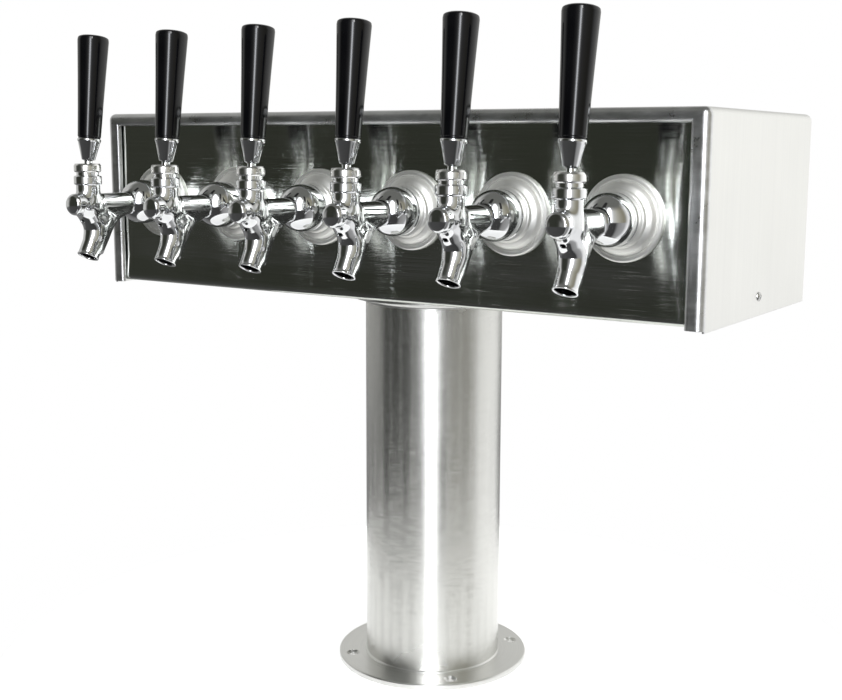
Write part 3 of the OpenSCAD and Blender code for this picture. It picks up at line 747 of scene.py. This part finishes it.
def bent_sheet(name, outline, x0, x1, holes, thick, dx, ds, push=None):
    """Sheet bent along outline (points of Y, Z on its outer face, thickness to the left of travel),
    from x0 to x1. holes are (x, s, radius), where s is the distance along the outline.
    push(x, y, z) moves a point, for dents. Returns the object and the outline's distances."""
    pts = np.array(outline, float)
    seg = np.linalg.norm(np.diff(pts, axis=0), axis=1)
    dist = np.concatenate([[0], np.cumsum(seg)])
    tang = np.diff(pts, axis=0) / seg[:, None]
    nrm = np.stack([-tang[:, 1], tang[:, 0]], 1)
    vn = np.vstack([nrm[:1], (nrm[1:] + nrm[:-1]), nrm[-1:]])
    vn /= np.linalg.norm(vn, axis=1)[:, None]
    ss = [0.0]
    for k in range(len(seg)):
        m = max(1, int(math.ceil(seg[k] / ds)))
        ss += [dist[k] + seg[k] * (j + 1) / m for j in range(m)]
    xs = np.linspace(x0, x1, int(round((x1 - x0) / dx)) + 1)
    coords, edges = [], []
    for s in ss:
        for x in xs:
            if all((x - hx) ** 2 + (s - hs) ** 2 > (hr + 0.35 * min(dx, ds)) ** 2 for hx, hs, hr in holes):
                coords.append((x, s))
    for hx, hs, hr in holes:
        m = 64 if hr > 20 else 40
        b = len(coords)
        for j in range(m):
            a = 2 * math.pi * (j + 0.5) / m
            coords.append((hx + hr * math.cos(a), hs + hr * math.sin(a)))
        edges += [(b + j, b + (j + 1) % m) for j in range(m)]
    out = delaunay_2d_cdt([Vector(c) for c in coords], edges, [], 0, 1e-7)
    V, F = out[0], out[2]
    keep = []
    for f in F:
        cx = sum(V[i].x for i in f) / 3
        cs = sum(V[i].y for i in f) / 3
        if all((cx - hx) ** 2 + (cs - hs) ** 2 > (hr * 0.995) ** 2 for hx, hs, hr in holes):
            keep.append(tuple(f))
    V = np.array([(v.x, v.y) for v in V])
    k = np.clip(np.searchsorted(dist, V[:, 1], side="right") - 1, 0, len(seg) - 1)
    u = (V[:, 1] - dist[k]) / seg[k]
    base = pts[k] + (pts[k + 1] - pts[k]) * u[:, None]
    n = vn[k] * (1 - u)[:, None] + vn[k + 1] * u[:, None]
    n /= np.linalg.norm(n, axis=1)[:, None]
    A = np.column_stack([V[:, 0], base])
    B = np.column_stack([V[:, 0], base + n * thick])
    if push is not None:
        A, B = A + push(A), B + push(B)
    count = {}
    for f in keep:
        for a, b in ((f[0], f[1]), (f[1], f[2]), (f[2], f[0])):
            count[(a, b)] = count.get((a, b), 0) + 1
    rim = [e for e in count if (e[1], e[0]) not in count]
    o = len(V)
    faces = [f for f in keep] + [(f[2] + o, f[1] + o, f[0] + o) for f in keep] + [(b, a, a + o, b + o) for a, b in rim]
    bm = bmesh.new()
    bv = [bm.verts.new(v) for v in np.vstack([A, B])]
    for f in faces:
        bm.faces.new([bv[i] for i in f])
    return from_bm(name, bm, None, 30.0), dist


chassis_rear = BOX_REAR - SHEET - 0.1
outline = rounded([(PANEL_Y, BOX_TOP - SHEET - 2.5), (PANEL_Y, CHASSIS_Z, 2.8), (chassis_rear, CHASSIS_Z, 2.8), (chassis_rear, CHASSIS_Z + 20)],
                  closed=False, step=11.0)
top_s = BOX_TOP - SHEET - 2.5
# distance along the outline at which the floor's Y = 0 lies
_p = np.array(outline)
_d = np.concatenate([[0], np.cumsum(np.linalg.norm(np.diff(_p, axis=0), axis=1))])
floor_i = max(k for k in range(len(_p)) if abs(_p[k][1] - CHASSIS_Z) < 1e-3 and _p[k][0] < 0)
s_mid = _d[floor_i] + (0 - _p[floor_i][0])
holes = [(faucet_x(i), top_s - AXIS_Z, 11.5) for i in range(1, 7)]
holes += [(0.0, s_mid, 49.3)]
holes += [(52.9 * math.cos(a), s_mid + 52.9 * math.sin(a), 2.1) for a in (0, math.pi / 2, math.pi, 1.5 * math.pi)]


def panel_dents(A):
    """The sheet stands slightly proud round each shank and sinks between them, with a little oil-canning."""
    out = np.zeros_like(A)
    on = np.clip((A[:, 2] - 288.0) / 14.0, 0, 1) * (A[:, 1] < PANEL_Y + 4)
    far = np.ones(len(A))
    for i in range(1, 7):
        r = np.sqrt((A[:, 0] - faucet_x(i)) ** 2 + (A[:, 2] - AXIS_Z) ** 2)
        far *= 1.0 - np.exp(-np.maximum(r - 23.0, 0.0) ** 2 / (2 * 15.0 ** 2))
    d = 0.75 * far
    d += 0.10 * far * np.sin(A[:, 0] * 2 * math.pi / 61.0 + 0.8) * np.sin((A[:, 2] - 284) * math.pi / 124)
    out[:, 1] = d * on
    return out


chassis, _ = bent_sheet("chassis_sheet", outline, -238.3, 238.3, holes, SHEET, 3.2, 3.2, panel_dents)
piece(chassis, PANEL, "tower", ["box_chassis"])
# the two side upstands on the chassis, with their screw holes
for s, side in ((-1, "left"), (1, "right")):
    bm = bmesh.new()
    xo = s * 241.9
    prof = rounded([(xo - s * 5.9, CHASSIS_Z), (xo, CHASSIS_Z, 2.4), (xo, CHASSIS_Z + 20.0)], closed=False)
    inner = rounded([(xo - s * 5.9, CHASSIS_Z + SHEET), (xo - s * SHEET, CHASSIS_Z + SHEET, 0.9), (xo - s * SHEET, CHASSIS_Z + 20.0)], closed=False)
    loop = prof + inner[::-1]
    rows = [[bm.verts.new((x, y, z)) for x, z in loop] for y in (-60.0, 80.0)]
    m = len(loop)
    for k in range(m):
        bm.faces.new([rows[0][k], rows[0][(k + 1) % m], rows[1][(k + 1) % m], rows[1][k]])
    bm.faces.new(rows[0])
    bm.faces.new(rows[1][::-1])
    tab = from_bm(f"chassis_upstand_{side}", bm, None, 30.0)
    cut = lathe("cut_tab", [(0.0, -12.0), (2.2, -12.0), (2.2, 12.0), (0.0, 12.0)], 40, False,
                Matrix.Translation((xo, 8.0, 294.0)) @ Matrix.Rotation(math.pi / 2, 4, "Y"))
    piece(drilled(tab, [cut]), STEEL, "tower")


def cover():
    """Folded cover: rounded shell open below, with lips returned round the front opening."""
    bm = bmesh.new()
    bmesh.ops.create_cube(bm, size=1.0)
    for v in bm.verts:
        v.co = Vector((v.co.x * 2 * HALF_L, BOX_FRONT if v.co.y < 0 else BOX_REAR, 240.0 if v.co.z < 0 else BOX_TOP))
    ed = [e for e in bm.edges if not all(v.co.z < 250 for v in e.verts)]
    bmesh.ops.bevel(bm, geom=ed, offset=5.0, offset_type="OFFSET", segments=7, profile=0.5, affect="EDGES", clamp_overlap=True)

    def cut(co, no):
        bmesh.ops.bisect_plane(bm, geom=bm.verts[:] + bm.edges[:] + bm.faces[:], dist=1e-6, plane_co=co, plane_no=no)

    cut((0, 0, BOX_LOW), (0, 0, 1))
    bmesh.ops.delete(bm, geom=[f for f in bm.faces if f.calc_center_median().z < BOX_LOW - 1e-4], context="FACES")
    cut((0, 0, LIP_END), (0, 0, 1))
    cut((0, BOX_FRONT + 3.4, 0), (0, 1, 0))
    cut((0, 0, BOX_TOP - 9.0), (0, 0, 1))
    for s in (-1, 1):
        cut((s * (HALF_L - 11.8), 0, 0), (1, 0, 0))
    gone = []
    for f in bm.faces:
        c = f.calc_center_median()
        if c.y < BOX_FRONT + 1e-3 and abs(c.x) < HALF_L - 11.8 and c.z < BOX_TOP - 9.0:
            gone.append(f)
        elif c.z < LIP_END and c.y < BOX_FRONT + 3.4 and abs(c.x) <= HALF_L:
            gone.append(f)
    bmesh.ops.delete(bm, geom=gone, context="FACES")
    x_in, z_in = HALF_L - 11.8, BOX_TOP - 9.0
    edge = []
    for e in bm.edges:
        if not e.is_boundary:
            continue
        a, b = e.verts
        if all(abs(v.co.y - BOX_FRONT) < 1e-3 for v in e.verts):
            if all(abs(abs(v.co.x) - x_in) < 1e-3 for v in e.verts) or all(abs(v.co.z - z_in) < 1e-3 and abs(v.co.x) < x_in + 1e-3 for v in e.verts):
                edge.append(e)
    r = bmesh.ops.extrude_edge_only(bm, edges=edge)
    for v in [g for g in r["geom"] if isinstance(g, bmesh.types.BMVert)]:
        v.co.y += 3.4
    bmesh.ops.bevel(bm, geom=edge, offset=2.7, offset_type="OFFSET", segments=6, profile=0.5, affect="EDGES", clamp_overlap=True)
    ob = from_bm("cover_shell", bm, None, None)
    mod = ob.modifiers.new("thick", "SOLIDIFY")
    mod.thickness = SHEET * MM
    mod.offset = -1
    mod.use_even_offset = True
    mod = ob.modifiers.new("edges", "BEVEL")
    mod.width = 0.3 * MM
    mod.segments = 2
    mod.limit_method = "ANGLE"
    mod.angle_limit = math.radians(50)
    evaluated(ob)
    cuts = [lathe(f"cut_c{s}", [(0.0, -6.0), (2.1, -6.0), (2.1, 6.0), (0.0, 6.0)], 40, False,
                  Matrix.Translation((s * HALF_L, 8.0, 294.0)) @ Matrix.Rotation(math.pi / 2, 4, "Y")) for s in (-1, 1)]
    drilled(ob, cuts)
    ob.data.set_sharp_from_angle(angle=math.radians(40))
    mod = ob.modifiers.new("even", "WEIGHTED_NORMAL")
    mod.weight = 100
    mod.keep_sharp = True
    return evaluated(ob)


shell = cover()
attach(shell, "tower")
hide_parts("box_cover")
paint(shell, COVER, LIPS)
for p in shell.data.polygons:
    if p.center.y < (BOX_FRONT + 4.95) * MM and p.center.z > 281 * MM:
        p.material_index = 1

# ------------------------------------------------------ carried-over CAD nodes

looks = {"column_nuts": STEEL, "cover_screws": STEEL, "clinch_nuts": STEEL,
         "shanks": NICKEL, "shank_washers": RUBBER, "shank_lock_nuts": STEEL, "coupling_gaskets": RUBBER,
         "tail_washers": RUBBER, "tailpieces": STEEL, "beer_nuts": NICKEL, "hose_clamps": STEEL, "beer_lines": HOSE,
         "ball_washers": NYLON, "friction_washers": NYLON}
for i in range(1, 7):
    looks[f"shaft_{i}"] = STEEL
    looks[f"shaft_seat_{i}"] = RUBBER
for n, m in looks.items():
    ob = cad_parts[n]
    paint(ob, m)
    ob.data.shade_smooth()
    ob.data.set_sharp_from_angle(angle=math.radians(30))

# ------------------------------------------------------------ floor, light, camera

bm = bmesh.new()
bmesh.ops.create_circle(bm, cap_ends=True, radius=330, segments=128)
floor = from_bm("floor", bm, Matrix.Translation((0, 0, -0.15)), None)
fm = Nodes("floor_pale")
fm.link(fm.colour(fm.noise(fm.tc.outputs["Object"], 6.0), (0.86, 0.86, 0.86), (0.9, 0.9, 0.9)), fm.bsdf.inputs["Base Color"])
fm.set("Roughness", 0.9)
fm.set("Specular IOR Level", 0.0)
fm.set("Emission Color", (1, 1, 1, 1))
fm.set("Emission Strength", 0.5)
paint(floor, fm.mat)

world = bpy.data.worlds.new("studio")
bpy.context.scene.world = world
world.use_nodes = True
wt = world.node_tree
wt.nodes.clear()


def wnode(kind, **kw):
    n = wt.nodes.new(kind)
    for k, v in kw.items():
        setattr(n, k, v)
    return n


def wmath(op, a, b=0.0, clamp=False):
    n = wnode("ShaderNodeMath", operation=op, use_clamp=clamp)
    for k, v in enumerate((a, b)):
        if isinstance(v, (int, float)):
            n.inputs[k].default_value = v
        else:
            wt.links.new(v, n.inputs[k])
    return n.outputs[0]


PEAK = 8.0
wc = wnode("ShaderNodeTexCoord")
ws = wnode("ShaderNodeSeparateXYZ")
wt.links.new(wc.outputs["Generated"], ws.inputs[0])
az = wmath("ARCTAN2", ws.outputs[0], wmath("MULTIPLY", ws.outputs[1], -1.0))
pos = wmath("ADD", wmath("MULTIPLY", az, 0.5 / math.pi), 0.5)
ramp = wnode("ShaderNodeValToRGB")
wt.links.new(pos, ramp.inputs[0])
stops = [(-180, 0.72, 0.72, 0.70), (-120, 0.62, 0.62, 0.60), (-99, 0.58, 0.58, 0.56), (-84, 0.58, 0.58, 0.56), (-72, 0.62, 0.62, 0.60),
         (-63, 0.26, 0.26, 0.25), (-53, 0.042, 0.044, 0.036), (-20, 0.036, 0.039, 0.031), (-10, 0.05, 0.052, 0.045), (0, 0.20, 0.20, 0.19),
         (9, 0.42, 0.42, 0.41), (15, 0.95, 0.96, 0.98), (20, 2.2, 2.22, 2.26), (23, 7.6, 7.7, 7.9), (34, 7.6, 7.7, 7.9), (37, 2.2, 2.22, 2.26), (43, 0.9, 0.9, 0.9), (50, 0.58, 0.58, 0.56),
         (64, 0.47, 0.46, 0.40), (78, 0.36, 0.345, 0.28), (93, 0.28, 0.265, 0.20), (101, 0.32, 0.305, 0.25), (109, 0.6, 0.6, 0.58), (118, 0.95, 0.95, 0.93),
         (138, 1.15, 1.15, 1.13), (160, 1.1, 1.1, 1.08), (180, 0.72, 0.72, 0.70)]
el = ramp.color_ramp.elements
while len(el) > 1:
    el.remove(el[-1])
el[0].position = 0.0
el[0].color = (*[c / PEAK for c in stops[0][1:]], 1)
for s in stops[1:]:
    e = el.new((s[0] + 180) / 360)
    e.color = (*[c / PEAK for c in s[1:]], 1)


def by_height(points):
    """Grey ramp over the height of the direction, from (degrees above the horizon, value)."""
    n = wnode("ShaderNodeValToRGB")
    wt.links.new(wmath("ADD", wmath("MULTIPLY", ws.outputs[2], 0.5), 0.5), n.inputs[0])
    e = n.color_ramp.elements
    while len(e) > 1:
        e.remove(e[-1])
    e[0].position = 0.0
    e[0].color = (points[0][1],) * 3 + (1,)
    for p, c in points:
        e.new(0.5 + 0.5 * math.sin(math.radians(p))).color = (c, c, c, 1)
    return n.outputs[0]


def blend(fac, a, b):
    n = wnode("ShaderNodeMix", data_type="RGBA")
    wt.links.new(fac, n.inputs[0])
    for v, k in ((a, 6), (b, 7)):
        if isinstance(v, tuple):
            n.inputs[k].default_value = (*[c / PEAK for c in v], 1)
        else:
            wt.links.new(v, n.inputs[k])
    return n.outputs[2]


# below the horizon: a dark floor in front, pale to the right and behind
low = wnode("ShaderNodeValToRGB")
wt.links.new(pos, low.inputs[0])
le = low.color_ramp.elements
while len(le) > 1:
    le.remove(le[-1])
le[0].position = 0.0
le[0].color = (*[0.30 / PEAK] * 3, 1)
for a, c in ((-110, 0.25), (-75, 0.16), (-60, 0.075), (56, 0.05), (70, 0.28), (100, 0.40), (116, 1.0), (165, 1.0), (180, 0.30)):
    le.new((a + 180) / 360).color = (*[c / PEAK] * 3, 1)
sky = blend(by_height([(-35, 0.0), (-17, 0.0), (38, 0.0), (58, 1.0), (90, 1.0)]), ramp.outputs[0], (0.16, 0.162, 0.15))
# a hotter, narrower tube inside the strip
tube = wnode("ShaderNodeValToRGB")
wt.links.new(pos, tube.inputs[0])
te = tube.color_ramp.elements
while len(te) > 1:
    te.remove(te[-1])
te[0].position = 0.0
te[0].color = (0, 0, 0, 1)
for a, c in ((24.8, 0.0), (25.8, 1.0), (31.4, 1.0), (32.4, 0.0)):
    te.new((a + 180) / 360).color = (c, c, c, 1)
sky = blend(wmath("MULTIPLY", tube.outputs[0], by_height([(-90, 0.0), (-0.5, 0.0), (1.0, 1.0), (22, 1.0), (25, 0.0)])), sky, (15.0, 15.4, 16.4))
lit = blend(by_height([(-90, 1.0), (-9.5, 1.0), (-6.0, 0.0), (0, 0.0)]), sky, low.outputs[0])
bg = wnode("ShaderNodeBackground")
wt.links.new(lit, bg.inputs[0])
bg.inputs[1].default_value = PEAK
white = wnode("ShaderNodeBackground")
white.inputs[0].default_value = (1, 1, 1, 1)
white.inputs[1].default_value = 1.0
path = wnode("ShaderNodeLightPath")
mix = wnode("ShaderNodeMixShader")
wt.links.new(path.outputs["Is Camera Ray"], mix.inputs[0])
wt.links.new(bg.outputs[0], mix.inputs[1])
wt.links.new(white.outputs[0], mix.inputs[2])
wo = wnode("ShaderNodeOutputWorld")
wt.links.new(mix.outputs[0], wo.inputs[0])


def soft_light(name, at, look, size, power):
    li = bpy.data.lights.new(name, "AREA")
    li.shape = "RECTANGLE"
    li.size, li.size_y = size
    li.energy = power
    ob = bpy.data.objects.new(name, li)
    bpy.context.scene.collection.objects.link(ob)
    d = Vector(look) - Vector(at)
    ob.matrix_world = Matrix.Translation(at) @ d.to_track_quat("-Z", "Y").to_matrix().to_4x4()
    return ob


soft_light("key_softbox", (1.25, -1.75, 1.75), (0, 0, 0.3), (0.28, 0.75), 9)
soft_light("top_softbox", (0.1, 0.3, 2.1), (0, 0, 0.2), (0.9, 0.9), 14).visible_glossy = False

cam = bpy.data.cameras.new("camera")
cam.sensor_fit = "HORIZONTAL"
cam.sensor_width = 36.0
cam.lens = 1240.38 / 842 * 36.0
cam.shift_x = (421 - 438.62) / 842
cam.shift_y = (340.81 - 350) / 842
cam.clip_start = 0.01
cam.clip_end = 50
co = bpy.data.objects.new("camera", cam)
bpy.context.scene.collection.objects.link(co)
yaw, pitch, roll = math.radians(32.76), math.radians(8.86), math.radians(0.32)
fwd = Vector((-math.sin(yaw) * math.cos(pitch), math.cos(yaw) * math.cos(pitch), -math.sin(pitch)))
right = Vector((math.cos(yaw), math.sin(yaw), 0))
upv = right.cross(fwd)
rr = right * math.cos(roll) + upv * math.sin(roll)
uu = -right * math.sin(roll) + upv * math.cos(roll)
co.matrix_world = Matrix(((rr.x, uu.x, -fwd.x, 0.49959), (rr.y, uu.y, -fwd.y, -0.76995), (rr.z, uu.z, -fwd.z, 0.38768), (0, 0, 0, 1)))
bpy.context.scene.camera = co

vs = bpy.context.scene.view_settings
vs.view_transform = "Standard"
vs.look = "None"
vs.exposure = 0.0
vs.gamma = 1.0
